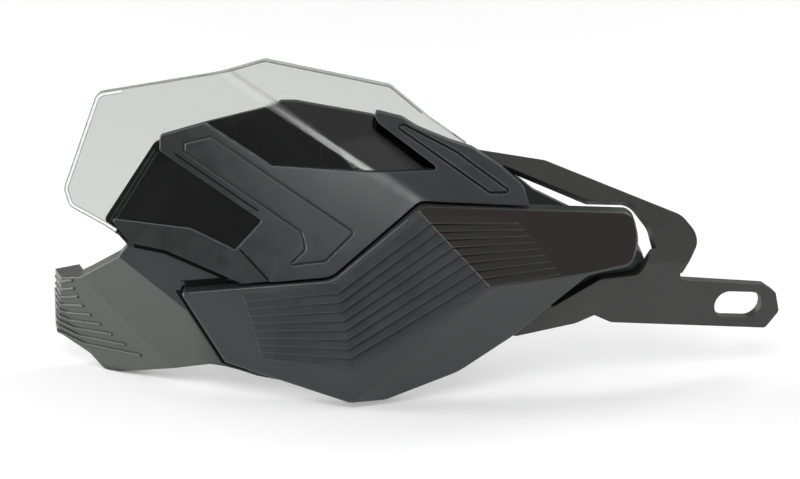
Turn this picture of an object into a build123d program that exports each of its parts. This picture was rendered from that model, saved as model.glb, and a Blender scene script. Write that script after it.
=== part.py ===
"""Right-hand motorcycle hand guard with a clear wind deflector.

Millimetres. X runs from the bar end towards the clamp, Y from the road side towards the rider, Z is up.
The origin is the centre of the bar-end bore. Every panel is a layer of a faceted form: flat facets that
meet in creases, cut to an outline that is drawn in the front view.
"""
from build123d import *
from math import cos, radians, sin
import os

# Walls and layers
cover_wall = 2.5
upper_cover_thickness = 3.0
screen_thickness = 3.0
base_wall = 3.0
bracket_thickness = 4.0
lower_cover_stand = 7.5

# Gaps between neighbours
panel_gap = 0.9
bracket_gap = 0.6
hole_clearance = 0.5

# Crease and edge radii
lower_crease = 2.0
upper_crease = 12.0
base_crease = 1.2
fold_radius = 6.5
cover_edge = 1.2

# Bar-end boss
bar_bore = 6.4
boss_length = 15.0
boss_back = 6.5
boss_top = 11.0
tip_back = 1.0

# Fine ridges of the tip
tip_rows = 9
tip_row_start = (-1.0, 17.5)
tip_row_pitch = 2.9
tip_row_end = (8.7, 21.3)
tip_row_sweep = 0.44
tip_row_spread = 4.0
tip_row_dip = 0.35
tip_row_width = 1.0
tip_row_height = 0.5

# Raised border of the base round the bar end of the lower cover, and the seams beside the covers
border_width = 3.4
border_end = 92.0
seam_width = 1.2
seam_depth = 1.2

# Stiffening of the base
rim_depth = 10.0
rim_top = 41.0
rib_depth = 7.0
rib_width = 2.0
rib_places = (80.0, 115.0, 143.0, 164.0)

# Clamp slot
slot_width = 12.0
slot_length = 22.0
slot_centre = (42.0, -24.0)
tab_slope = -7.0

# Chevron relief of the lower cover: X and Z of each corner of its top line and of its bottom line, and the
# heights of the corners on the crease
chevron_count = 9
chevron_height = 0.9
chevron_fade = 0.2
chevron_root = 0.8
chevron_left = ((82.1, 24.4), (90.0, -2.0))
chevron_middle = ((120.3, 30.8), (126.5, -3.6))
chevron_bend = (60.0, 32.5)
chevron_right = ((191.9, 56.5), (211.0, 34.5))

# Relief of the upper cover
groove_width = 0.9
groove_depth = 0.7
rail_drop = 1.4

# Fasteners
screw_diameter = 3.5
screw_grip = 4.5
screw_flats = 6.0
screw_head_height = 2.4
screw_boss = 7.0
cover_boss_length = 22.0
grommet_wall = 1.2
stud_diameter = 5.0
stud_end = 1.3
washer_diameter = 10.0
washer_thickness = 1.0
nut_flats = 8.0
nut_height = 4.7

# Long enough to pass through the whole guard
reach = 400.0


def facet(point, yaw, lean):
    """A plane of the form: yaw turns it to the clamp side, lean tips it back."""
    yaw, lean = radians(yaw), radians(lean)
    outward = (sin(yaw) * cos(lean), -cos(yaw) * cos(lean), sin(lean))
    return Plane(origin=point, x_dir=(cos(yaw), sin(yaw), 0), z_dir=outward)


# The prow of the lower cover, where its three facets meet
prow = (182.4, -68.0, 32.0)
front = facet(prow, -10, 5)
tongue = facet(prow, 20, 30)
keel = facet(prow, 22.5, -28)

# The deflector and the upper cover share one fold
upper_left = facet((105.5, -53.1, 30.4), -9, 12)
upper_right = facet((156.0, -54.0, 63.6), 20, 45)

# The base turns back towards the bar end in two facets and a narrow end face
tip_corner = (12.9, -22.0, 23.7)
tip_side = facet(tip_corner, -24.5, -14.4)
tip_end = facet(tip_corner, -30.7, -19.9)
end_face = facet((2.2, -10.0, 10.2), -75, 0)

# The bracket is folded between its loop and its clamp tab
fold_point = (250.0, -29.7, 32.6)
loop_plane = facet(fold_point, 22, 36)
tab_plane = facet(fold_point, 18, -10)

lower_facets = [front, tongue, keel]
upper_facets = [upper_left, upper_right]
bracket_facets = [loop_plane, tab_plane]

# Layers of the form, from the outside in
upper_stack = upper_cover_thickness + screen_thickness
base_front = front.offset(-lower_cover_stand)
base_upper = [plane.offset(-upper_stack) for plane in upper_facets]
base_right = [plane.offset(-bracket_thickness) for plane in bracket_facets]
base_facets = [base_front, tip_side, tip_end, end_face] + base_upper + base_right

# Front-view outlines: X, Z and the radius of each corner
lower_outline = [
    (56, 24, 1.5), (118.7, 32, 12), (154.3, 63.4, 6), (241.8, 54, 6), (244, 43.5, 12), (241, 34.6, 6),
    (222, 32.6, 2), (192, 6, 20), (170, -9, 20), (140, -19, 8), (125, -18.3, 3), (74.5, -4.3, 1.5),
]
upper_outline = [
    (48, 86.3, 1.5), (66.5, 92, 2), (93.3, 76, 2), (162.5, 74, 0.8), (137, 91.5, 3), (135, 95.7, 1),
    (146.8, 92.5, 3), (153.4, 88.7, 3), (166.5, 83.4, 4), (175.5, 80.5, 4), (187, 73.6, 6),
    (196.2, 66.3, 6), (199.5, 57, 0), (158, 55, 0), (122, 26, 0), (95, 22, 0), (81, 28.5, 1), (50, 40.4, 4),
    (35.4, 42.6, 1), (27, 52.3, 1), (60.3, 49.6, 6), (78.8, 41.6, 1), (90, 54, 1), (48, 80.3, 1.5),
]
rail_edge = slice(16, 19)
rail_outline = [(20, 20, 0), (20, 60, 0), (62, 56, 0), (80, 43.8, 0), (96, 27.2, 0), (96, 20, 0)]
panel_outline = [
    (57.6, 84.2, 1), (69.5, 87.3, 2), (128.2, 51, 1.5), (116, 38.7, 2), (99.7, 36.1, 1), (107.3, 43.6, 2),
    (105.5, 50.2, 2), (57.6, 80.2, 1),
]
pad_outline = [
    (143, 90.2, 1), (182.5, 64.5, 1.5), (193, 64, 1), (168.9, 80.2, 1), (148, 90.6, 1),
]
screen_outline = [
    (21.7, 102, 5), (90.6, 115, 4), (142, 103, 3), (158.4, 90.6, 3), (175.6, 79.6, 2), (152, 66.5, 4),
    (126, 45, 4), (112, 36, 4), (82, 31, 4), (50, 41.6, 4), (34.5, 42.8, 2), (24.7, 48.8, 6), (10, 56, 5),
    (7.6, 63, 5),
]
base_outline = [
    (-5, 20, 2), (12.4, 23.4, 2), (30.2, 35.6, 0), (34, 40.5, 1), (24.5, 50.5, 2), (45.5, 82, 4),
    (66, 90.6, 0), (97, 99, 4), (103, 98.6, 4), (134, 92, 0), (175, 75.5, 0), (189.5, 70, 0), (201, 61, 0),
    (218.6, 52.2, 0), (234, 42, 0), (246, 35, 2), (248, 31, 2), (245, 24, 3), (230, 11, 4), (192, 6, 0),
    (170, -5, 0), (143, -15, 0), (126, -15, 0), (98, -12.8, 0), (73.5, -9.5, 4), (67, -9.5, 6), (27, -21, 6),
    (20, -21.3, 4), (14, -14.5, 2), (9, -11.5, 3), (1, -7, 2), (-5, -5, 2),
]

# Loop and tab outlines on their own planes, along the facet and up its slope, from the fold
loop_outline = [
    (-65.4, 57, 1.5), (-35.7, 49.2, 8), (19.5, 18.8, 8), (25.2, 8, 9), (14, -6, 0), (5, -12, 0),
    (-30, -12, 0), (-30, -6, 0), (-13.4, -6, 3), (3.6, -4, 9), (3.8, 15.5, 8), (-1.6, 27, 7),
    (-20.6, 29.3, 3), (-54.6, 48.8, 1), (-68, 38, 4), (-78, 47, 4),
]
tab_outline = [
    (15.6, 6, 0), (15.6, -4.5, 2), (8, -9, 3), (53.5, -16, 2), (59, -20, 2), (61.5, -29, 2), (56, -36.3, 2),
    (-15.6, -26.6, 4), (-23.5, -22.5, 1), (-31.5, -25.5, 6), (-59, -29, 4), (-68, -18, 4), (-64, -6, 4),
    (-48, -7, 4), (-43, -17.4, 2), (-22, -6.3, 2), (-5, -6, 4), (2, 6, 0),
]

# Where the screws and studs stand: X and Z in the front view, on the facet that carries them
lower_screws = [
    (base_front, 70, 14), (base_front, 122, 8), (base_upper[0], 150, 40), (base_right[0], 208, 46),
]
upper_screws = [(base_upper[0], 64, 83), (base_upper[0], 96, 46), (base_upper[0], 136, 60)]
studs = [(base_right[0], 178, 69), (base_right[1], 195, 19), (base_right[1], 216, 18)]


def block(facets, sink, radius=0.0):
    """The solid behind a set of facets, all moved inwards by one depth, with rounded creases."""
    with BuildPart(mode=Mode.PRIVATE) as solid:
        Box(reach * 2, reach * 2, reach * 2)
        for plane in facets:
            split(bisect_by=plane.offset(-sink), keep=Keep.BOTTOM)
        if radius > 0:
            creases = solid.edges().filter_by(lambda edge: max(abs(c) for c in edge @ 0.5) < reach - 1)
            fillet(creases, radius)
    return solid.part


def layer(facets, near, far, radius):
    """The skin of a form between two depths, with concentric creases."""
    with BuildPart(mode=Mode.PRIVATE) as solid:
        add(block(facets, near, radius - near))
        add(block(facets, far, radius - far), mode=Mode.SUBTRACT)
    return solid.part


def points(outline):
    """The corners of an outline."""
    return [corner[:2] for corner in outline]


def radii(outline):
    """The radius at each corner of an outline."""
    return [corner[2] for corner in outline]


def curtain(outline, inset=0.0):
    """A front-view outline drawn out along Y, shrunk by an inset."""
    with BuildPart(mode=Mode.PRIVATE) as solid:
        with BuildSketch(Plane.XZ):
            with BuildLine():
                FilletPolyline(*points(outline), radius=radii(outline), close=True)
            make_face()
            if inset:
                offset(amount=-inset)
        extrude(amount=reach, both=True)
    return solid.part


def seat(plane, x, z):
    """The plane laid at the point of a facet that stands at X and Z in the front view."""
    outward, origin = plane.z_dir, plane.origin
    y = origin.Y - (outward.X * (x - origin.X) + outward.Z * (z - origin.Z)) / outward.Y
    return Plane(origin=(x, y, z), x_dir=plane.x_dir, z_dir=outward)


def pins(places, diameter, bottom, top):
    """Round pins at a set of places, between two heights along each facet's outward direction."""
    with BuildPart(mode=Mode.PRIVATE) as solid:
        for plane, x, z in places:
            with BuildSketch(seat(plane, x, z).offset(bottom)):
                Circle(diameter / 2)
            extrude(amount=top - bottom)
    return solid.part


def hexagons(places, flats, top, height):
    """Hexagons at a set of places, below one height along each facet's outward direction."""
    with BuildPart(mode=Mode.PRIVATE) as solid:
        for plane, x, z in places:
            with BuildSketch(seat(plane, x, z).offset(top)):
                RegularPolygon(flats / 2, 6, major_radius=False)
            extrude(amount=-height)
    return solid.part


def skin_border(solid):
    """The edges round the outer skin of a panel, without its creases."""
    skin = solid.faces().filter_by(lambda face: face.normal_at().Y < -0.1)
    edges = [edge for face in skin for edge in face.edges()]
    return [edge for edge in edges if sum(edge.is_same(other) for other in edges) == 1]


def strip(places, width):
    """A line in the front view, widened and drawn out along Y."""
    with BuildPart(mode=Mode.PRIVATE) as solid:
        with BuildSketch(Plane.XZ):
            with BuildLine() as path:
                Polyline(*places)
            trace(path.line, width)
        extrude(amount=reach, both=True)
    return solid.part


def ring(outline, width):
    """A band along the inside of a front-view outline."""
    with BuildPart(mode=Mode.PRIVATE) as solid:
        add(curtain(outline))
        add(curtain(outline, width), mode=Mode.SUBTRACT)
    return solid.part


def folded_plate(grow):
    """The bracket's plate with its fold rounded, grown on all sides by a clearance."""
    with BuildPart(mode=Mode.PRIVATE) as solid:
        for outline, plane, other in ((loop_outline, *bracket_facets), (tab_outline, *bracket_facets[::-1])):
            with BuildSketch(plane.offset(grow)):
                with BuildLine():
                    FilletPolyline(*points(outline), radius=radii(outline), close=True)
                make_face()
                if grow:
                    offset(amount=grow)
            extrude(amount=-bracket_thickness - 2 * grow)
            split(bisect_by=other.offset(grow), keep=Keep.BOTTOM)
        add(block(bracket_facets, -grow, fold_radius), mode=Mode.INTERSECT)
    return solid.part


base_form = block(base_facets, 0, base_crease)
base_hollow = block(base_facets, base_wall)
screws = lower_screws + upper_screws
nut_seat = base_wall + washer_thickness

# Base shell: a moulded shell with a solid boss at the bar end, a rim along its lower edges and inner ribs
with BuildPart(mode=Mode.PRIVATE) as base_rim:
    add(ring(base_outline, base_wall))
    add(base_form, mode=Mode.INTERSECT)
    add(block(base_facets, rim_depth), mode=Mode.SUBTRACT)
    split(bisect_by=Plane.XY.offset(rim_top), keep=Keep.BOTTOM)

with BuildPart(mode=Mode.PRIVATE) as base_boss:
    add(curtain(base_outline))
    add(base_form, mode=Mode.INTERSECT)
    split(bisect_by=Plane.YZ.offset(boss_length), keep=Keep.BOTTOM)
    split(bisect_by=Plane.XY.offset(boss_top), keep=Keep.BOTTOM)

with BuildPart(mode=Mode.PRIVATE) as space_over_boss:
    Box(reach * 2, reach * 2, reach * 2)
    split(bisect_by=Plane.XY.offset(boss_top), keep=Keep.TOP)
    split(bisect_by=Plane.XZ.offset(-tip_back), keep=Keep.BOTTOM)

with BuildPart(mode=Mode.PRIVATE) as base_ribs:
    for place in rib_places:
        with Locations((place, 0, 0)):
            Box(rib_width, reach, reach)
    add(base_form, mode=Mode.INTERSECT)
    add(block(base_facets, base_wall + rib_depth), mode=Mode.SUBTRACT)
    add(curtain(base_outline, base_wall), mode=Mode.INTERSECT)

with BuildPart(mode=Mode.PRIVATE) as tip_ridges:
    for row in range(tip_rows):
        start = (tip_row_start[0], tip_row_start[1] - tip_row_pitch * row)
        end = (tip_row_end[0] + tip_row_sweep * row ** 2, tip_row_end[1] - tip_row_spread * row)
        middle = ((2 * start[0] + end[0]) / 3, (2 * start[1] + end[1]) / 3 - tip_row_dip * row)
        add(strip([start, middle, end], tip_row_width))
    add(block(base_facets, -tip_row_height), mode=Mode.INTERSECT)
    add(block(base_facets, base_wall / 2), mode=Mode.SUBTRACT)
    add(curtain(base_outline), mode=Mode.INTERSECT)

with BuildPart(mode=Mode.PRIVATE) as base_border:
    add(curtain(lower_outline, -border_width))
    add(curtain(lower_outline, cover_wall), mode=Mode.SUBTRACT)
    add(curtain(base_outline), mode=Mode.INTERSECT)
    split(bisect_by=Plane.YZ.offset(border_end), keep=Keep.BOTTOM)
    split(bisect_by=base_front, keep=Keep.BOTTOM)
    add(base_hollow, mode=Mode.SUBTRACT)

with BuildPart(mode=Mode.PRIVATE) as base_seams:
    add(curtain(lower_outline, -seam_width))
    add(curtain(lower_outline), mode=Mode.SUBTRACT)
    split(bisect_by=Plane.YZ.offset(border_end), keep=Keep.BOTTOM)
    add(strip([(x, z - seam_width / 2) for x, z in points(upper_outline[rail_edge])], seam_width))
    split(bisect_by=base_front.offset(-seam_depth), keep=Keep.TOP)

with BuildPart() as base_shell:
    add(curtain(base_outline))
    add(base_form, mode=Mode.INTERSECT)
    add(base_hollow, mode=Mode.SUBTRACT)
    add(base_rim.part)
    add(base_boss.part)
    add(base_ribs.part)
    add(base_border.part)
    add(tip_ridges.part)
    split(bisect_by=Plane.XZ.offset(-boss_back), keep=Keep.TOP)
    add(space_over_boss.part, mode=Mode.SUBTRACT)
    add(base_seams.part, mode=Mode.SUBTRACT)
    with BuildSketch(Plane.YZ):
        Circle(bar_bore / 2)
    extrude(amount=boss_length * 2, both=True, mode=Mode.SUBTRACT)
    add(pins(screws, screw_diameter + hole_clearance, -reach, reach), mode=Mode.SUBTRACT)
    add(pins(studs, stud_diameter + hole_clearance, -reach, reach), mode=Mode.SUBTRACT)
base_shell.part.label = "base_shell"

# Clear wind deflector: one folded sheet with a hole for each boss of the upper cover
grommet_diameter = screw_boss + 2 * grommet_wall
with BuildPart() as clear_screen:
    add(curtain(screen_outline))
    add(layer(upper_facets, upper_cover_thickness, upper_stack, upper_crease), mode=Mode.INTERSECT)
    add(pins(upper_screws, grommet_diameter, -reach, reach), mode=Mode.SUBTRACT)
clear_screen.part.label = "clear_screen"

# Rubber grommets between the deflector and the bosses
with BuildPart() as screen_grommets:
    add(pins(upper_screws, grommet_diameter, 0, screen_thickness))
    add(pins(upper_screws, screw_boss, 0, screen_thickness), mode=Mode.SUBTRACT)
screen_grommets.part.label = "screen_grommets"

# Upper cover: a plate over the deflector, with a thinner rail along the lower edge of the deflector
with BuildPart(mode=Mode.PRIVATE) as upper_relief:
    add(ring(panel_outline, groove_width))
    add(ring(pad_outline, groove_width))
    add(layer(upper_facets, 0, groove_depth, upper_crease), mode=Mode.INTERSECT)

with BuildPart(mode=Mode.PRIVATE) as rail_cut:
    add(curtain(rail_outline))
    add(layer(upper_facets, 0, rail_drop, upper_crease), mode=Mode.INTERSECT)

with BuildPart() as upper_cover:
    add(curtain(upper_outline))
    add(layer(upper_facets, 0, upper_cover_thickness, upper_crease), mode=Mode.INTERSECT)
    add(curtain(lower_outline, -panel_gap), mode=Mode.SUBTRACT)
    add(rail_cut.part, mode=Mode.SUBTRACT)
    add(upper_relief.part, mode=Mode.SUBTRACT)
    add(pins(upper_screws, screw_boss, 0, screen_thickness))
    add(pins(upper_screws, screw_diameter, 0, screw_grip), mode=Mode.SUBTRACT)
upper_cover.part.label = "upper_cover"

# Lower cover: a hollow cap that stands on the base, with a relief of chevron steps
with BuildPart(mode=Mode.PRIVATE) as lower_cavity:
    add(curtain(lower_outline, cover_wall))
    add(block(lower_facets, cover_wall), mode=Mode.INTERSECT)

with BuildPart(mode=Mode.PRIVATE) as lower_bosses:
    add(pins(lower_screws, screw_boss, 0, cover_boss_length))
    add(block(lower_facets, cover_wall / 2), mode=Mode.INTERSECT)
    add(pins(lower_screws, screw_diameter, 0, screw_grip), mode=Mode.SUBTRACT)


def chevron_line(row):
    """The corners of one step line, from the bar end on, each with its facet's outward direction."""
    share = row / chevron_count
    left, middle, right = [
        (top[0] + (bottom[0] - top[0]) * share, top[1] + (bottom[1] - top[1]) * share)
        for top, bottom in (chevron_left, chevron_middle, chevron_right)
    ]
    height = chevron_bend[0] + (chevron_bend[1] - chevron_bend[0]) * share
    crease = front.z_dir.cross(tongue.z_dir)
    return [
        (seat(front, *left).origin, front.z_dir),
        (seat(front, *middle).origin, front.z_dir),
        (Vector(prow) + crease * ((height - prow[2]) / crease.Z), (front.z_dir + tongue.z_dir).normalized()),
        (seat(tongue, *right).origin, tongue.z_dir),
    ]


with BuildPart(mode=Mode.PRIVATE) as chevrons:
    for row in range(chevron_count):
        sections = []
        heights = [chevron_fade, chevron_height, chevron_height, chevron_fade]
        for (top, _), (edge, outward), height in zip(chevron_line(row), chevron_line(row + 1), heights):
            root = outward * chevron_root
            sections.append(Face(Wire.make_polygon([top - root, edge - root, edge + outward * height, top])))
        loft(sections, ruled=True)

with BuildPart() as lower_cover:
    add(curtain(lower_outline))
    add(block(lower_facets, 0, lower_crease), mode=Mode.INTERSECT)
    fillet(skin_border(lower_cover), cover_edge)
    add(block(lower_facets, lower_cover_stand), mode=Mode.SUBTRACT)
    add(lower_cavity.part, mode=Mode.SUBTRACT)
    add(chevrons.part)
    add(base_form, mode=Mode.SUBTRACT)
    add(folded_plate(bracket_gap), mode=Mode.SUBTRACT)
    add(lower_bosses.part)
lower_cover.part.label = "lower_cover"

# Bracket: one plate folded between the loop and the clamp tab, with welded studs behind
with BuildPart() as mounting_bracket:
    add(folded_plate(0))
    with BuildSketch(tab_plane):
        with Locations(Location(slot_centre, tab_slope)):
            SlotOverall(slot_length, slot_width)
    extrude(amount=-bracket_thickness, mode=Mode.SUBTRACT)
    add(pins(studs, stud_diameter, -nut_seat - nut_height - stud_end, 0))
mounting_bracket.part.label = "mounting_bracket"

# Fasteners on the rider's side
with BuildPart() as bracket_washers:
    add(pins(studs, washer_diameter, -nut_seat, -base_wall))
    add(pins(studs, stud_diameter + hole_clearance, -nut_seat, -base_wall), mode=Mode.SUBTRACT)
bracket_washers.part.label = "bracket_washers"

with BuildPart() as bracket_nuts:
    add(hexagons(studs, nut_flats, -nut_seat, nut_height))
    add(pins(studs, stud_diameter, -reach, reach), mode=Mode.SUBTRACT)
bracket_nuts.part.label = "bracket_nuts"

with BuildPart() as upper_cover_screws:
    add(pins(upper_screws, screw_diameter, -base_wall, screw_grip))
    add(hexagons(upper_screws, screw_flats, -base_wall, screw_head_height))
upper_cover_screws.part.label = "upper_cover_screws"

with BuildPart() as lower_cover_screws:
    add(pins(lower_screws, screw_diameter, -base_wall, screw_grip))
    add(hexagons(lower_screws, screw_flats, -base_wall, screw_head_height))
lower_cover_screws.part.label = "lower_cover_screws"

pieces = [
    base_shell, clear_screen, screen_grommets, upper_cover, lower_cover, mounting_bracket, bracket_washers,
    bracket_nuts, upper_cover_screws, lower_cover_screws,
]
os.makedirs("parts", exist_ok=True)
for piece in pieces:
    export_step(piece.part, f"parts/{piece.part.label}.step")
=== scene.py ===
"""Studio picture of a right-hand motorcycle hand guard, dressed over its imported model. Units are metres."""

import math

import bpy
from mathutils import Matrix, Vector
from mathutils.bvhtree import BVHTree


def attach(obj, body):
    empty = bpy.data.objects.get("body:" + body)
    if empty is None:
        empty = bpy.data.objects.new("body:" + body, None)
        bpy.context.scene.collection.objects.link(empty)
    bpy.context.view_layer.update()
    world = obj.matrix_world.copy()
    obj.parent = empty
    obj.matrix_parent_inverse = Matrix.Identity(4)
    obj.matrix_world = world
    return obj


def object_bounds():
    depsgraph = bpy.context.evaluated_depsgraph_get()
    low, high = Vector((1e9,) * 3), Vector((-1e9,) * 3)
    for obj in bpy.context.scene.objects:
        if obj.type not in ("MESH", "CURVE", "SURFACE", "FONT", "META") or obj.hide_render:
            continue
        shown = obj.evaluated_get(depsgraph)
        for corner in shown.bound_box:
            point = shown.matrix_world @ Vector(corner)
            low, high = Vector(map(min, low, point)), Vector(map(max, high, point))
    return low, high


MM = 0.001

# Camera, as the photograph was taken: level with the front, 15 degrees above
CAMERA_TARGET = Vector((146, -30, 42)) * MM
CAMERA_DISTANCE = 1100 * MM
CAMERA_ELEVATION = math.radians(15)
CAMERA_LENS = 120
SENSOR_WIDTH = 36

# Floor, which glows a little for the camera, and more far from the guard
FLOOR_DROP = 0.3 * MM
FLOOR_HALF = 8.0
FLOOR_WHITE = (0.92, 0.92, 0.92)
FLOOR_ROUGHNESS = 0.9
FLOOR_SPECULAR = 0.1
NEAR_REACH, FAR_REACH = 0.5, 2.0
NEAR_GLOW, FAR_GLOW = 0.18, 0.45

# Lamps: degrees from the front to the right, degrees up, size and power
LAMP_DISTANCE = 1.5
LAMPS = {
    "left_side": (270, 8, 0.7, 26),
    "left_back": (240, 15, 0.7, 6),
    "right_back": (135, 40, 0.7, 5),
    "right_side": (90, 15, 0.7, 5),
    "front_top": (0, 38, 0.7, 10),
    "high_right": (72, 65, 0.9, 0.3),
}

# World strength: before the guard, behind it and above it, and the directions between which it changes
WORLD_FRONT, WORLD_BACK, WORLD_TOP = 0.16, 0.49, 0.28
WORLD_BACK_RANGE, WORLD_TOP_RANGE = (-0.3, 0.3), (0.3, 0.55)

# Moulded and coated surfaces. A range is where a mask begins and ends: a place, a share or a part of the normal
SPECULAR = 0.6
# Specular of the black strips of painted shade in the gaps beside the covers
SHADE_STRIP_SPECULAR = 0.1
CLOUD_RANGE = (0.3, 0.7)
TONE_SIZE, TONE_SPREAD = 24 * MM, 0.15
GLOSS_SIZE, GLOSS_SPREAD = 6 * MM, 0.05
# Edges that face one side are lightened with a painted highlight
EDGE_HIGHLIGHT_RANGE = (0.04, 0.3)
EDGE_RANGE = (0.995, 0.85)
# Painted shade: darker where other faces come near, in seams, creases and between parts
PAINTED_SHADE_RANGE = (0.45, 0.88)
PAINTED_SHADE_SAMPLES = 8
PAINTED_SHADE_DARK = (0.003, 0.003, 0.003)

# Shell: polished behind the clear sheet, its tip lightened with painted light and painted edge highlights
GLOSS_BLACK = (0.004, 0.005, 0.005)
POLISHED_GLOSS = 0.12
POLISHED_GRAIN = 0.1
RAIL_SLOPE = 0.31
RAIL_HEIGHT, RAIL_REACH = (56 * MM, 57 * MM), (100 * MM, 108 * MM)
WINDOW_HEIGHT = (42 * MM, 44 * MM)
ROAD_SIDE = (-0.3, -0.1)
TIP_REACH, BOSS_REACH = (60 * MM, 80 * MM), (24 * MM, 30 * MM)
UNDERSIDE, TOPSIDE = (-0.2, -0.12), (0.3, 0.6)
# Painted light on the tip: lighter on the facets that look down, less on those that look up, and lighter painted
# highlights on its edges
TIP_PAINTED_LIGHT = (0.058, 0.063, 0.056)
TIP_TOP_PAINTED_LIGHT = (0.028, 0.030, 0.027)
TIP_EDGE_HIGHLIGHT = (0.20, 0.21, 0.19)

# Covers: the upper one's crown and painted shade on its left part,
# the lower one's smoother right facet with a painted brown reflection
CROWN_START, CROWN_END, CROWN_LEVEL = 60 * MM, 145 * MM, 65 * MM
CROWN_DEPTH = 3.4
CREASE_SIDE = (-0.1, 0.0)
# Painted shade on the left of the upper cover
SHADED_LEFT_REACH, PAINTED_SHADE_SHARE = (60 * MM, 105 * MM), 0.3
TONGUE_RIGHT, TONGUE_UP = (0.1, 0.2), (0.2, 0.35)
# Painted brown reflection on the right facet of the lower cover
TONGUE_PAINTED_REFLECTION = (0.017, 0.013, 0.011)
TONGUE_GLOSS = 0.26

# Clear sheet: cut edges darkened by painted reflection, handling marks, fold, painted reflection strips on its border
SHEET_TINT = (0.64, 0.67, 0.64)
# Painted dark reflection along the sheet's edges and on its cut faces
SHEET_EDGE_DARK_REFLECTION = (0.12, 0.13, 0.13)
SHEET_CUT_DARK_REFLECTION = (0.35, 0.38, 0.36)
SHEET_IOR = 1.585
SHEET_EDGE_RADIUS = 1.0 * MM
CUT_SIDE = (0.2, 0.5)
MARK_SIZE, MARK_RANGE, MARK_GLOSS = 9 * MM, (0.45, 0.75), (0.015, 0.05)
FOLD_LEFT, FOLD_RIGHT = (-0.14, -0.10), (0.18, 0.22)
FOLD_HEIGHT, FOLD_GLOSS = (86 * MM, 100 * MM), (0.17, 0.42)
# Strips of painted reflection on the sheet's border, cloudy
REFLECTION_CLOUD_SIZE, REFLECTION_CLOUD_RANGE, REFLECTION_STRIP_GLOSS = 1.5 * MM, (0.35, 0.65), (0.35, 0.55)

# Steel of the fasteners
STEEL_DARK, STEEL_LIGHT = (0.42, 0.42, 0.43), (0.62, 0.62, 0.60)
STEEL_SIZE, STEEL_GLOSS = 3 * MM, (0.28, 0.45)
TURNING_SIZE, TURNING_DEPTH = 0.3 * MM, 0.02 * MM

# Thin strips laid on the CAD faces: front-view corners in millimetres, as the outlines of the pieces have them
STRIP_LIFT = 0.08 * MM
STRIP_BODY = 0.16 * MM
STRIP_STEP = 2 * MM
RAY_START = -0.3
CURVE_STEPS = 6
LOWER_COVER_LEFT = [(84, -6.9), (74.5, -4.3), (56, 24)]
LOWER_COVER_TOP = [(56, 24), (112, 31.1)]
LOWER_COVER_BROW = [(60, 24.5), (118.7, 32), (149, 58.7)]
BROW_ROUNDING = [0, 12, 0]
RAIL_BELOW = [(92, 23.4), (81, 28.5), (50, 40.4), (37, 42.4)]
RAIL_END = [(81, 42), (92.2, 30.6)]
ARM_BELOW = [(87, 55.9), (53, 77.2)]
SHELL_LEFT = [(26.5, 50.6), (45, 79.6)]
SHEET_EDGE = [(29, 46.2), (24.7, 48.8), (10, 56), (7.6, 63), (21.7, 102), (90.6, 115), (142, 103), (155, 93.2)]
SHEET_ROUNDING = [0, 6, 5, 5, 5, 4, 3, 0]
SHEET_LEFT = SHEET_EDGE[:5] + [(32, 103.9)]

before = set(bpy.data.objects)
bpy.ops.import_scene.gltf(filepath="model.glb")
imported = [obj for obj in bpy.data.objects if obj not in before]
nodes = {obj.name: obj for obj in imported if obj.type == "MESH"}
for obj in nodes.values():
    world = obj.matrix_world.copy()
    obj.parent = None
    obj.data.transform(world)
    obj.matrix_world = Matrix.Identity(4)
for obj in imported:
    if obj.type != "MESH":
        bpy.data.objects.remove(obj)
cad_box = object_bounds()


def plug(tree, value, socket):
    """Links a socket to another, or sets it to a number or a colour."""
    if isinstance(value, bpy.types.NodeSocket):
        tree.links.new(value, socket)
    else:
        socket.default_value = value


def add_node(tree, kind, **inputs):
    """A shader node with its named sockets set or linked."""
    node = tree.nodes.new(kind)
    for name, value in inputs.items():
        plug(tree, value, node.inputs[name.replace("_", " ")])
    return node


def new_material(name):
    """A material with its node tree and its main shader."""
    material = bpy.data.materials.new(name)
    material.use_nodes = True
    tree = material.node_tree
    return material, tree, tree.nodes["Principled BSDF"]


def where(tree):
    """The point in the guard's own frame."""
    return tree.nodes.new("ShaderNodeTexCoord").outputs["Object"]


def plain_normal(tree):
    """The normal of the flat face."""
    return tree.nodes.new("ShaderNodeNewGeometry").outputs["True Normal"]


def part_of(tree, vector, axis):
    """One component of a vector."""
    return add_node(tree, "ShaderNodeSeparateXYZ", Vector=vector).outputs[axis]


def place(tree, axis):
    """A coordinate in the guard's own frame."""
    return part_of(tree, where(tree), axis)


def facing(tree, axis):
    """A component of the surface's normal."""
    return part_of(tree, plain_normal(tree), axis)


def combine(tree, operation, first, second=0.0):
    """One value from two."""
    node = tree.nodes.new("ShaderNodeMath")
    node.operation = operation
    plug(tree, first, node.inputs[0])
    plug(tree, second, node.inputs[1])
    return node.outputs["Value"]


def vectors(tree, operation, first, second=None):
    """The outputs of a node that joins two vectors, or measures one."""
    node = tree.nodes.new("ShaderNodeVectorMath")
    node.operation = operation
    plug(tree, first, node.inputs[0])
    if second is not None:
        plug(tree, second, node.inputs[1])
    return node.outputs


def remap(tree, value, low, high, to_low, to_high):
    """A value carried from one range to another, held at its ends."""
    node = add_node(tree, "ShaderNodeMapRange", Value=value)
    for socket, number in zip(node.inputs[1:5], (low, high, to_low, to_high)):
        plug(tree, number, socket)
    return node.outputs["Result"]


def noise(tree, size, detail=2.0, roughness=0.5):
    """Noise over the guard's own space, with features of about one size."""
    node = add_node(tree, "ShaderNodeTexNoise", Vector=where(tree), Scale=1 / size, Detail=detail, Roughness=roughness)
    return node.outputs["Fac"]


def mix_colour(tree, share, first, second):
    """Two colours mixed by a share."""
    node = tree.nodes.new("ShaderNodeMix")
    node.data_type = "RGBA"
    plug(tree, share, node.inputs["Factor"])
    for socket, colour in zip((node.inputs[6], node.inputs[7]), (first, second)):
        plug(tree, colour if isinstance(colour, bpy.types.NodeSocket) else (*colour, 1), socket)
    return node.outputs[2]


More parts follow.
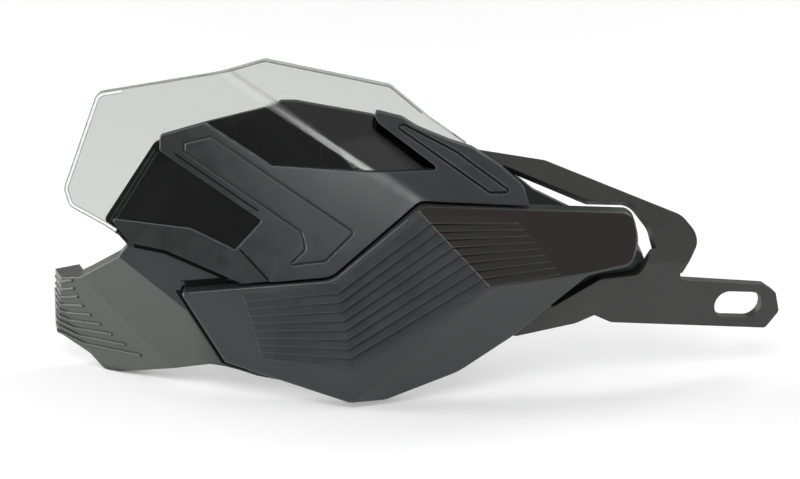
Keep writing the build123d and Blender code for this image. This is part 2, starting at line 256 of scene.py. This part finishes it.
def scaled(colour, share):
    """A colour made darker or lighter."""
    return tuple(channel * share for channel in colour)


def rounded(tree, radius):
    """The normal of the surface with its edges rounded."""
    return add_node(tree, "ShaderNodeBevel", Radius=radius).outputs["Normal"]


def highlit_edges(tree, radius, toward):
    """One along edges that face a direction, where a painted highlight lightens them, and zero on flats and on other
    edges.
    """
    change = vectors(tree, "SUBTRACT", rounded(tree, radius), plain_normal(tree))["Vector"]
    return remap(tree, vectors(tree, "DOT_PRODUCT", change, toward)["Value"], *EDGE_HIGHLIGHT_RANGE, 0, 1)


def all_edges(tree, radius):
    """One along every edge, and zero on flats."""
    turn = vectors(tree, "DOT_PRODUCT", rounded(tree, radius), plain_normal(tree))["Value"]
    return remap(tree, turn, *EDGE_RANGE, 0, 1)


def behind_sheet(tree):
    """One on the faces of the shell that look to the road from behind the clear sheet, above the slanted rail."""
    along, height = place(tree, "X"), place(tree, "Z")
    slanted = combine(tree, "ADD", height, combine(tree, "MULTIPLY", along, RAIL_SLOPE))
    above_rail = combine(tree, "MULTIPLY", remap(tree, slanted, *RAIL_HEIGHT, 0, 1),
                         remap(tree, along, *RAIL_REACH, 1, 0))
    high = combine(tree, "MAXIMUM", above_rail, remap(tree, height, *WINDOW_HEIGHT, 0, 1))
    return combine(tree, "MULTIPLY", high, remap(tree, facing(tree, "Y"), *ROAD_SIDE, 1, 0))


def on_tip(tree):
    """One on the bar-end boss and on the facets of the shell's tip, which look down."""
    along = place(tree, "X")
    below = combine(tree, "MULTIPLY", remap(tree, along, *TIP_REACH, 1, 0),
                    remap(tree, facing(tree, "Z"), *UNDERSIDE, 1, 0))
    return combine(tree, "MAXIMUM", below, remap(tree, along, *BOSS_REACH, 1, 0))


def on_tongue(tree):
    """One on the right facet of the lower cover, which looks up and to the right."""
    return combine(tree, "MULTIPLY", remap(tree, facing(tree, "X"), *TONGUE_RIGHT, 0, 1),
                   remap(tree, facing(tree, "Z"), *TONGUE_UP, 0, 1))


def crowned(tree, normal):
    """A normal that leans back more and more towards the crease of the upper cover, on the left of the crease."""
    across = remap(tree, place(tree, "X"), CROWN_START, CROWN_END, 0, CROWN_END - CROWN_START)
    above = combine(tree, "SUBTRACT", place(tree, "Z"), CROWN_LEVEL)
    before_crease = remap(tree, facing(tree, "X"), *CREASE_SIDE, 1, 0)
    bump = add_node(tree, "ShaderNodeBump", Height=combine(tree, "MULTIPLY", across, above), Distance=CROWN_DEPTH,
                    Strength=before_crease, Normal=normal)
    bump.invert = True
    return bump.outputs["Normal"]


def moulded(name, colour, shine, grain_size, grain_depth, edge_radius, highlight_gain, toward=(0, 0, 1), shade_distance=3.5 * MM,
            specular=SPECULAR, is_shell=False, is_crowned=False, is_tongued=False):
    """Moulded or coated surface: uneven tone and gloss, fine grain, rounded edges, painted highlights on the edges
    that face one side, and painted shade in seams and creases.

    The shell is also polished behind the clear sheet, and its tip is lightened with painted light. The upper cover
    is darker on its left with painted shade, and the lower cover's right facet is smoother and tinted darker and
    browner with a painted reflection.
    """
    material, tree, shader = new_material(name)
    shader.inputs["Specular IOR Level"].default_value = specular
    cloud = remap(tree, noise(tree, TONE_SIZE, detail=3), *CLOUD_RANGE, 0, 1)
    tone = mix_colour(tree, cloud, scaled(colour, 1 - TONE_SPREAD), scaled(colour, 1 + TONE_SPREAD))
    gloss = remap(tree, noise(tree, GLOSS_SIZE, detail=4), *CLOUD_RANGE, shine - GLOSS_SPREAD, shine + GLOSS_SPREAD)
    # Painted highlight: the colour made lighter for the edges that face one side
    edge_highlight = scaled(colour, highlight_gain)
    normal = rounded(tree, edge_radius)
    if is_crowned:
        # Painted shade: the upper cover darker on its left
        along = remap(tree, place(tree, "X"), *SHADED_LEFT_REACH, 0, 1)
        tone = mix_colour(tree, along, scaled(colour, PAINTED_SHADE_SHARE), tone)
        normal = crowned(tree, normal)
    if is_tongued:
        tongue = on_tongue(tree)
        # Painted brown reflection on the lower cover's right facet
        tone = mix_colour(tree, tongue, tone, TONGUE_PAINTED_REFLECTION)
        gloss = remap(tree, tongue, 0, 1, gloss, TONGUE_GLOSS)
    if is_shell:
        # Painted light on the tip, more on the facets that look down, and lighter painted highlights on its edges
        tip = on_tip(tree)
        tip_tone = mix_colour(tree, remap(tree, facing(tree, "Z"), *TOPSIDE, 0, 1), TIP_PAINTED_LIGHT, TIP_TOP_PAINTED_LIGHT)
        tone = mix_colour(tree, tip, tone, tip_tone)
        edge_highlight = mix_colour(tree, tip, edge_highlight, TIP_EDGE_HIGHLIGHT)
    # Painted highlight on the edges that face one side
    tone = mix_colour(tree, highlit_edges(tree, edge_radius, toward), tone, edge_highlight)
    # Painted shade where other faces come near: in seams, creases and between parts
    occlusion = add_node(tree, "ShaderNodeAmbientOcclusion", Distance=shade_distance)
    occlusion.samples = PAINTED_SHADE_SAMPLES
    tone = mix_colour(tree, remap(tree, occlusion.outputs["AO"], *PAINTED_SHADE_RANGE, 0, 1), PAINTED_SHADE_DARK, tone)
    if is_shell:
        behind = behind_sheet(tree)
        tone = mix_colour(tree, behind, tone, GLOSS_BLACK)
        gloss = remap(tree, behind, 0, 1, gloss, POLISHED_GLOSS)
        grain_depth = remap(tree, behind, 0, 1, grain_depth, grain_depth * POLISHED_GRAIN)
    grain = noise(tree, grain_size, detail=1)
    bump = add_node(tree, "ShaderNodeBump", Height=grain, Distance=grain_depth, Strength=1.0, Normal=normal)
    tree.links.new(tone, shader.inputs["Base Color"])
    tree.links.new(gloss, shader.inputs["Roughness"])
    tree.links.new(bump.outputs["Normal"], shader.inputs["Normal"])
    return material


def clear_sheet(name):
    """Clear polycarbonate: polished, darkened along its edges and cut faces with painted reflection, duller on its
    fold, with handling marks.
    """
    material, tree, shader = new_material(name)
    shader.inputs["Transmission Weight"].default_value = 1.0
    shader.inputs["IOR"].default_value = SHEET_IOR
    # Painted dark reflection on the cut faces and along every edge
    cut_edge = remap(tree, combine(tree, "ABSOLUTE", facing(tree, "Y")), *CUT_SIDE, 1, 0)
    tone = mix_colour(tree, all_edges(tree, SHEET_EDGE_RADIUS), SHEET_TINT, SHEET_EDGE_DARK_REFLECTION)
    tree.links.new(mix_colour(tree, cut_edge, tone, SHEET_CUT_DARK_REFLECTION), shader.inputs["Base Color"])
    marks = remap(tree, noise(tree, MARK_SIZE, detail=6, roughness=0.7), *MARK_RANGE, *MARK_GLOSS)
    turn = facing(tree, "X")
    fold = combine(tree, "MULTIPLY", remap(tree, turn, *FOLD_LEFT, 0, 1), remap(tree, turn, *FOLD_RIGHT, 1, 0))
    fold_gloss = remap(tree, place(tree, "Z"), *FOLD_HEIGHT, *FOLD_GLOSS)
    tree.links.new(remap(tree, fold, 0, 1, marks, fold_gloss), shader.inputs["Roughness"])
    return material


def edge_reflection_strip(name, low, high):
    """Strips of painted reflection on the border of the clear sheet, cloudy."""
    material, tree, shader = new_material(name)
    cloud = noise(tree, REFLECTION_CLOUD_SIZE, detail=3)
    tree.links.new(mix_colour(tree, remap(tree, cloud, *REFLECTION_CLOUD_RANGE, 0, 1), low, high), shader.inputs["Base Color"])
    tree.links.new(remap(tree, cloud, *CLOUD_RANGE, *REFLECTION_STRIP_GLOSS), shader.inputs["Roughness"])
    return material


def plated_steel(name):
    """Zinc-plated steel with fine turning marks."""
    material, tree, shader = new_material(name)
    shader.inputs["Metallic"].default_value = 1.0
    cloud = noise(tree, STEEL_SIZE, detail=4)
    tree.links.new(mix_colour(tree, cloud, STEEL_DARK, STEEL_LIGHT), shader.inputs["Base Color"])
    tree.links.new(remap(tree, cloud, *CLOUD_RANGE, *STEEL_GLOSS), shader.inputs["Roughness"])
    bump = add_node(tree, "ShaderNodeBump", Height=noise(tree, TURNING_SIZE), Distance=TURNING_DEPTH)
    tree.links.new(bump.outputs["Normal"], shader.inputs["Normal"])
    return material


def dress(node, material):
    """Gives a CAD node one material."""
    mesh = nodes[node].data
    mesh.materials.clear()
    mesh.materials.append(material)


def dress_nodes():
    """Gives every CAD node its material."""
    # The gain after each edge radius is how much lighter a painted highlight makes the edges; a distance is how far
    # the painted shade in seams reaches
    dress("lower_cover", moulded(
        "lower_cover_plastic", (0.019, 0.022, 0.023), shine=0.36, grain_size=0.4 * MM, grain_depth=0.005 * MM,
        edge_radius=0.5 * MM, highlight_gain=4.0, toward=(-0.5, 0, -0.85), shade_distance=1.8 * MM, is_tongued=True))
    dress("upper_cover", moulded(
        "upper_cover_plastic", (0.022, 0.026, 0.027), shine=0.38, grain_size=0.4 * MM, grain_depth=0.005 * MM,
        edge_radius=0.8 * MM, highlight_gain=8.0, toward=(-0.6, 0, 0.8), is_crowned=True))
    dress("base_shell", moulded(
        "shell_plastic", (0.012, 0.014, 0.016), shine=0.42, grain_size=0.5 * MM, grain_depth=0.008 * MM,
        edge_radius=0.6 * MM, highlight_gain=5.0, is_shell=True))
    dress("mounting_bracket", moulded(
        "coated_plate", (0.025, 0.024, 0.023), shine=0.5, grain_size=0.55 * MM, grain_depth=0.03 * MM,
        edge_radius=0.5 * MM, highlight_gain=2.0))
    dress("screen_grommets", moulded(
        "grommet_rubber", (0.015, 0.015, 0.015), shine=0.8, grain_size=0.4 * MM, grain_depth=0.02 * MM,
        edge_radius=0.2 * MM, highlight_gain=1.5))
    dress("clear_screen", clear_sheet("clear_sheet"))
    steel = plated_steel("fastener_steel")
    for fasteners in ("upper_cover_screws", "lower_cover_screws", "bracket_washers", "bracket_nuts"):
        dress(fasteners, steel)


def surface_of(node):
    """The faces of a CAD node, for rays along Y to fall on."""
    mesh = nodes[node].data
    return BVHTree.FromPolygons([vertex.co for vertex in mesh.vertices], [face.vertices[:] for face in mesh.polygons])


def soften(corners, radii):
    """The corners of a line, each replaced by a short curve of its radius."""
    line = [Vector(corner) for corner in corners]
    curved = [line[0]]
    for before, here, after, radius in zip(line, line[1:], line[2:], radii[1:]):
        back, ahead = (before - here).normalized(), (after - here).normalized()
        reach = radius / math.tan(back.angle(ahead) / 2)
        start, end = here + back * reach, here + ahead * reach
        for i in range(CURVE_STEPS + 1):
            share = i / CURVE_STEPS
            curved.append(start.lerp(here, share).lerp(here.lerp(end, share), share))
    return curved + [line[-1]]


def closely(corners):
    """Points along a front-view line, a step apart or less, in metres."""
    route = [Vector(corner) * MM for corner in corners]
    points = [route[0]]
    for start, end in zip(route, route[1:]):
        count = math.ceil((end - start).length / STRIP_STEP)
        points += [start.lerp(end, i / count) for i in range(1, count + 1)]
    return points


def beside(route, distance):
    """A front-view line moved sideways, to the left of its own direction, with its corners kept sharp."""
    moved = []
    for i, here in enumerate(route):
        ends = [route[max(i - 1, 0)], here, route[min(i + 1, len(route) - 1)]]
        runs = [(b - a).normalized() for a, b in zip(ends, ends[1:]) if (b - a).length > 0]
        sides = [Vector((-run.y, run.x)) for run in runs]
        middle = sum(sides, Vector((0, 0))).normalized()
        moved.append(here + middle * (distance / middle.dot(sides[0])))
    return moved


def lay_strip(name, corners, near, far, carrier, material):
    """A thin strip between two distances in millimetres beside a front-view line, laid on the face of a CAD node."""
    surface = surface_of(carrier)
    route = closely(corners)
    points = []
    for x, z in beside(route, near * MM) + beside(route, far * MM):
        hit = surface.ray_cast(Vector((x, RAY_START, z)), Vector((0, 1, 0)))[0]
        points.append(hit - Vector((0, STRIP_LIFT, 0)))
    count = len(route)
    mesh = bpy.data.meshes.new(name)
    mesh.from_pydata(points, [], [(i, i + 1, count + i + 1, count + i) for i in range(count - 1)])
    mesh.materials.append(material)
    strip = bpy.data.objects.new(name, mesh)
    bpy.context.scene.collection.objects.link(strip)
    body = strip.modifiers.new("body", "SOLIDIFY")
    body.thickness = STRIP_BODY
    body.offset = 0.0
    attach(strip, "root")


def lay_strips():
    """Painted shade in the gaps beside the covers and in the arm's groove, painted highlights on the shell's rim and
    the lower cover's brow, and painted reflection lines on the border of the clear sheet.
    """
    # Painted shade: black strips in the gaps beside the covers and in the arm's groove
    gap_shade = moulded("painted_gap_shade", (0.003, 0.003, 0.003), shine=0.85, grain_size=0.3 * MM, grain_depth=0.02 * MM,
                     edge_radius=0.05 * MM, highlight_gain=1.5, specular=SHADE_STRIP_SPECULAR)
    # Painted highlight on the rim of the shell
    rim_highlight = moulded("painted_rim_highlight", (0.13, 0.14, 0.13), shine=0.3, grain_size=0.5 * MM, grain_depth=0.003 * MM,
                  edge_radius=0.05 * MM, highlight_gain=1.5)
    # Painted highlight on the lower cover's brow
    edge_highlight = moulded("painted_brow_highlight", (0.10, 0.105, 0.105), shine=0.3, grain_size=0.4 * MM, grain_depth=0.005 * MM,
                     edge_radius=0.05 * MM, highlight_gain=1.5)
    # Painted reflection lines on the clear sheet's border, dark and light
    line = edge_reflection_strip("sheet_edge_dark_reflection", (0.15, 0.16, 0.15), (0.28, 0.30, 0.28))
    light_reflection = edge_reflection_strip("sheet_edge_light_reflection", (0.80, 0.82, 0.80), (0.90, 0.92, 0.90))
    brow = soften(LOWER_COVER_BROW, BROW_ROUNDING)
    sheet_edge = soften(SHEET_EDGE, SHEET_ROUNDING)
    sheet_left = soften(SHEET_LEFT, SHEET_ROUNDING)
    # Strips of painted shade
    lay_strip("lower_cover_gap_shade_left", LOWER_COVER_LEFT, -0.4, 2.8, "base_shell", gap_shade)
    lay_strip("lower_cover_gap_shade_top", LOWER_COVER_TOP, -0.4, 2.7, "base_shell", gap_shade)
    lay_strip("rail_gap_shade", RAIL_BELOW, -0.4, 2.8, "base_shell", gap_shade)
    lay_strip("rail_end_gap_shade", RAIL_END, -0.5, 0.5, "upper_cover", gap_shade)
    lay_strip("arm_groove_shade", ARM_BELOW, -2.7, -2.2, "upper_cover", gap_shade)
    # Strips of painted highlight on the shell's rim
    lay_strip("shell_rim_highlight_outer", SHELL_LEFT, -0.9, -0.4, "base_shell", rim_highlight)
    lay_strip("shell_rim_highlight_inner", SHELL_LEFT, -2.5, -2.0, "base_shell", rim_highlight)
    # Strip of painted highlight on the lower cover's brow
    lay_strip("lower_cover_brow_highlight", brow, -0.8, -0.4, "lower_cover", edge_highlight)
    # Strips of painted reflection on the sheet's border
    lay_strip("sheet_edge_outer_dark_reflection", sheet_edge, -0.5, -0.1, "clear_screen", line)
    lay_strip("sheet_edge_light_reflection", sheet_left, -1.5, -0.5, "clear_screen", light_reflection)
    lay_strip("sheet_edge_inner_dark_reflection", sheet_left, -1.8, -1.5, "clear_screen", line)


def looked_at(tree):
    """One where the camera, a reflection or a see-through piece looks, and zero for light on the guard."""
    path = tree.nodes.new("ShaderNodeLightPath").outputs
    either = combine(tree, "MAXIMUM", path["Is Camera Ray"], path["Is Glossy Ray"])
    return combine(tree, "MAXIMUM", either, path["Is Transmission Ray"])


def add_floor():
    """A large pale floor just under the guard."""
    low = cad_box[0][2] - FLOOR_DROP
    mesh = bpy.data.meshes.new("floor")
    corners = [(-FLOOR_HALF, -FLOOR_HALF, low), (FLOOR_HALF, -FLOOR_HALF, low),
               (FLOOR_HALF, FLOOR_HALF, low), (-FLOOR_HALF, FLOOR_HALF, low)]
    mesh.from_pydata(corners, [], [(0, 1, 2, 3)])
    floor = bpy.data.objects.new("floor", mesh)
    bpy.context.scene.collection.objects.link(floor)
    material, tree, shader = new_material("floor_white")
    shader.inputs["Base Color"].default_value = (*FLOOR_WHITE, 1)
    shader.inputs["Roughness"].default_value = FLOOR_ROUGHNESS
    shader.inputs["Specular IOR Level"].default_value = FLOOR_SPECULAR
    shader.inputs["Emission Color"].default_value = (1, 1, 1, 1)
    reach = vectors(tree, "LENGTH", where(tree))["Value"]
    glow = remap(tree, reach, NEAR_REACH, FAR_REACH, NEAR_GLOW, FAR_GLOW)
    tree.links.new(remap(tree, looked_at(tree), 0, 1, 0, glow), shader.inputs["Emission Strength"])
    mesh.materials.append(material)


def add_area(name, turn, height, size, power):
    """A soft square lamp around the guard: its turn is from the front to the right, its height is an angle."""
    turn, height = math.radians(turn), math.radians(height)
    outward = Vector((math.sin(turn) * math.cos(height), -math.cos(turn) * math.cos(height), math.sin(height)))
    lamp = bpy.data.lights.new(name, "AREA")
    lamp.size = size
    lamp.energy = power
    obj = bpy.data.objects.new(name, lamp)
    obj.location = CAMERA_TARGET + outward * LAMP_DISTANCE
    obj.rotation_euler = (-outward).to_track_quat("-Z", "Y").to_euler()
    bpy.context.scene.collection.objects.link(obj)


def add_light():
    """A strong lamp low on the left, weak ones on the other sides, and a world that is dim behind the camera."""
    for name, (turn, height, size, power) in LAMPS.items():
        add_area(name, turn, height, size, power)
    world = bpy.data.worlds.new("studio")
    bpy.context.scene.world = world
    world.use_nodes = True
    tree = world.node_tree
    direction = tree.nodes.new("ShaderNodeTexCoord").outputs["Generated"]
    background = tree.nodes["Background"]
    background.inputs["Color"].default_value = (1, 1, 1, 1)
    walls = remap(tree, part_of(tree, direction, "Y"), *WORLD_BACK_RANGE, WORLD_FRONT, WORLD_BACK)
    strength = remap(tree, part_of(tree, direction, "Z"), *WORLD_TOP_RANGE, walls, WORLD_TOP)
    tree.links.new(strength, background.inputs["Strength"])


def add_camera():
    """The photograph's view."""
    camera = bpy.data.cameras.new("camera")
    camera.lens = CAMERA_LENS
    camera.sensor_width = SENSOR_WIDTH
    camera.sensor_fit = "HORIZONTAL"
    obj = bpy.data.objects.new("camera", camera)
    back = Vector((0, -math.cos(CAMERA_ELEVATION), math.sin(CAMERA_ELEVATION)))
    obj.location = CAMERA_TARGET + back * CAMERA_DISTANCE
    obj.rotation_euler = (-back).to_track_quat("-Z", "Y").to_euler()
    bpy.context.scene.collection.objects.link(obj)
    bpy.context.scene.camera = obj


dress_nodes()
lay_strips()
add_floor()
add_light()
add_camera()
bpy.context.scene.view_settings.view_transform = "Standard"
